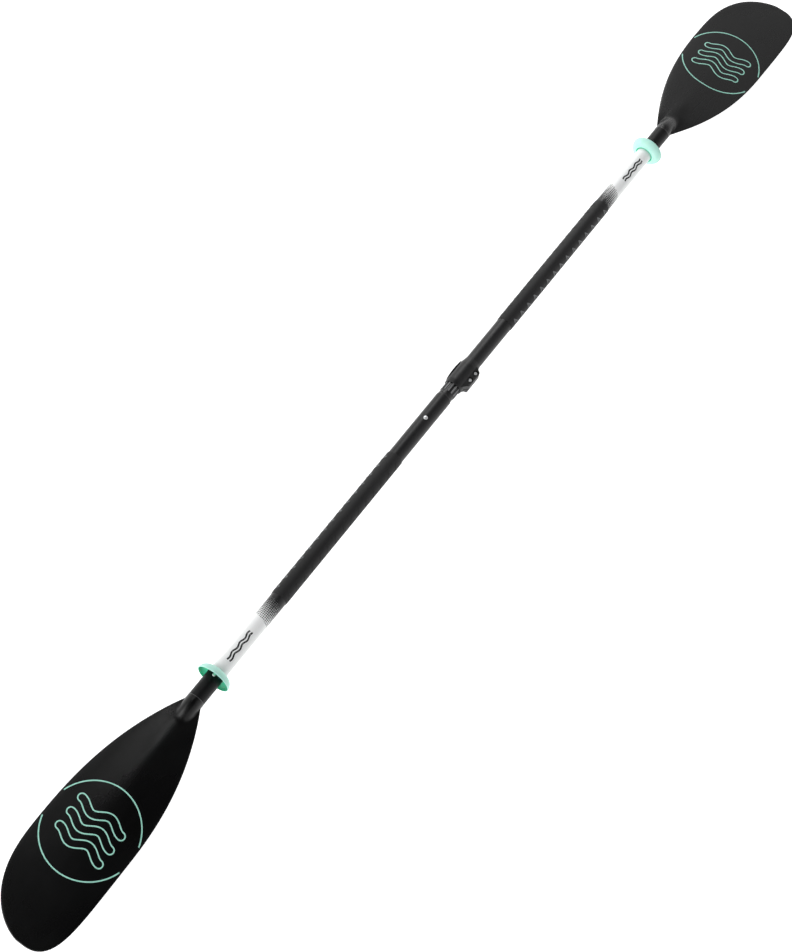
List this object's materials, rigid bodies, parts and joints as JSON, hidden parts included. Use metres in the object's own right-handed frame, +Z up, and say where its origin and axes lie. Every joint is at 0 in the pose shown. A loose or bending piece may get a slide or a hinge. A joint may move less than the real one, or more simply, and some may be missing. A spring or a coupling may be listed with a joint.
{
  "type": "kayak paddle",
  "caption": "Two-piece double-bladed kayak paddle with curved blades, drip rings, soft grips, a snap-button joint and a lever clamp for its length and feather angle.",
  "frame": {"origin": "on the ground under the middle of the paddle, with both drip rings and both blade tips touching the ground", "axes": "+X along the shaft towards the half that carries the length clamp, +Z up, with the backs of both blades facing up"},
  "size_m": [2.3, 0.1532, 0.0592],
  "materials": {
    "shaft": "satin black glass-fibre tube",
    "ferrule": "smooth black glass-fibre tube",
    "black_plastic": "moulded plastic",
    "blade": "satin moulded nylon, fine grain",
    "steel": "stainless steel",
    "black_sleeve": "satin shrink sleeve",
    "foam": "closed-cell foam",
    "printed_band": "white print under clear varnish",
    "grip_rubber": "soft-touch rubber",
    "ring_rubber": "soft mint-green elastomer",
    "clamp_plastic": "fine-grained moulded nylon",
    "collar_plastic": "moulded plastic",
    "spring_steel": "spring steel strip"
  },
  "bodies": {
    "upper_half": {"shaft_upper": "shaft", "blade_upper": "blade", "blade_rivet_upper": "steel", "neck_sleeve_upper": "black_sleeve", "seal_plug_upper": "foam", "printed_band_upper": "printed_band", "grip_upper": "grip_rubber", "clamp_body": "clamp_plastic", "lever_pin": "steel", "cam_plate": "steel", "clamp_screws": "steel"},
    "index_collar": {"index_collar": "collar_plastic"},
    "lower_half": {"shaft_lower": "shaft", "ferrule_tube": "ferrule", "ferrule_plug": "black_plastic", "blade_lower": "blade", "blade_rivet_lower": "steel", "neck_sleeve_lower": "black_sleeve", "seal_plug_lower": "foam", "printed_band_lower": "printed_band", "grip_lower": "grip_rubber", "snap_spring": "spring_steel"},
    "snap_button": {"snap_button": "steel"},
    "clamp_lever": {"clamp_lever": "clamp_plastic"},
    "drip_ring_upper": {"drip_ring_upper": "ring_rubber"},
    "drip_ring_lower": {"drip_ring_lower": "ring_rubber"}
  },
  "joints": [
    {"name": "feather_turn", "type": "hinge", "parent": "upper_half", "child": "index_collar", "pos_m": [0, 0, 0.0296], "axis": [1, 0, 0], "range_deg": [-60, 60]},
    {"name": "length_slide", "type": "slide", "parent": "index_collar", "child": "lower_half", "axis": [-1, 0, 0], "range_m": [0, 0.2]},
    {"name": "button_press", "type": "slide", "parent": "lower_half", "child": "snap_button", "axis": [0, 0, -1], "range_m": [0, 0.0039], "stiffness_N_per_m": 700, "springref_m": -0.004, "deforming": ["snap_spring"]},
    {"name": "lever_swing", "type": "hinge", "parent": "upper_half", "child": "clamp_lever", "pos_m": [0.037, -0.0176, 0.01615], "axis": [-1, 0, 0], "range_deg": [0, 110]},
    {"name": "ring_upper_slide", "type": "slide", "parent": "upper_half", "child": "drip_ring_upper", "axis": [-1, 0, 0], "range_m": [0, 0.1]},
    {"name": "ring_lower_slide", "type": "slide", "parent": "lower_half", "child": "drip_ring_lower", "axis": [1, 0, 0], "range_m": [0, 0.1]}
  ]
}
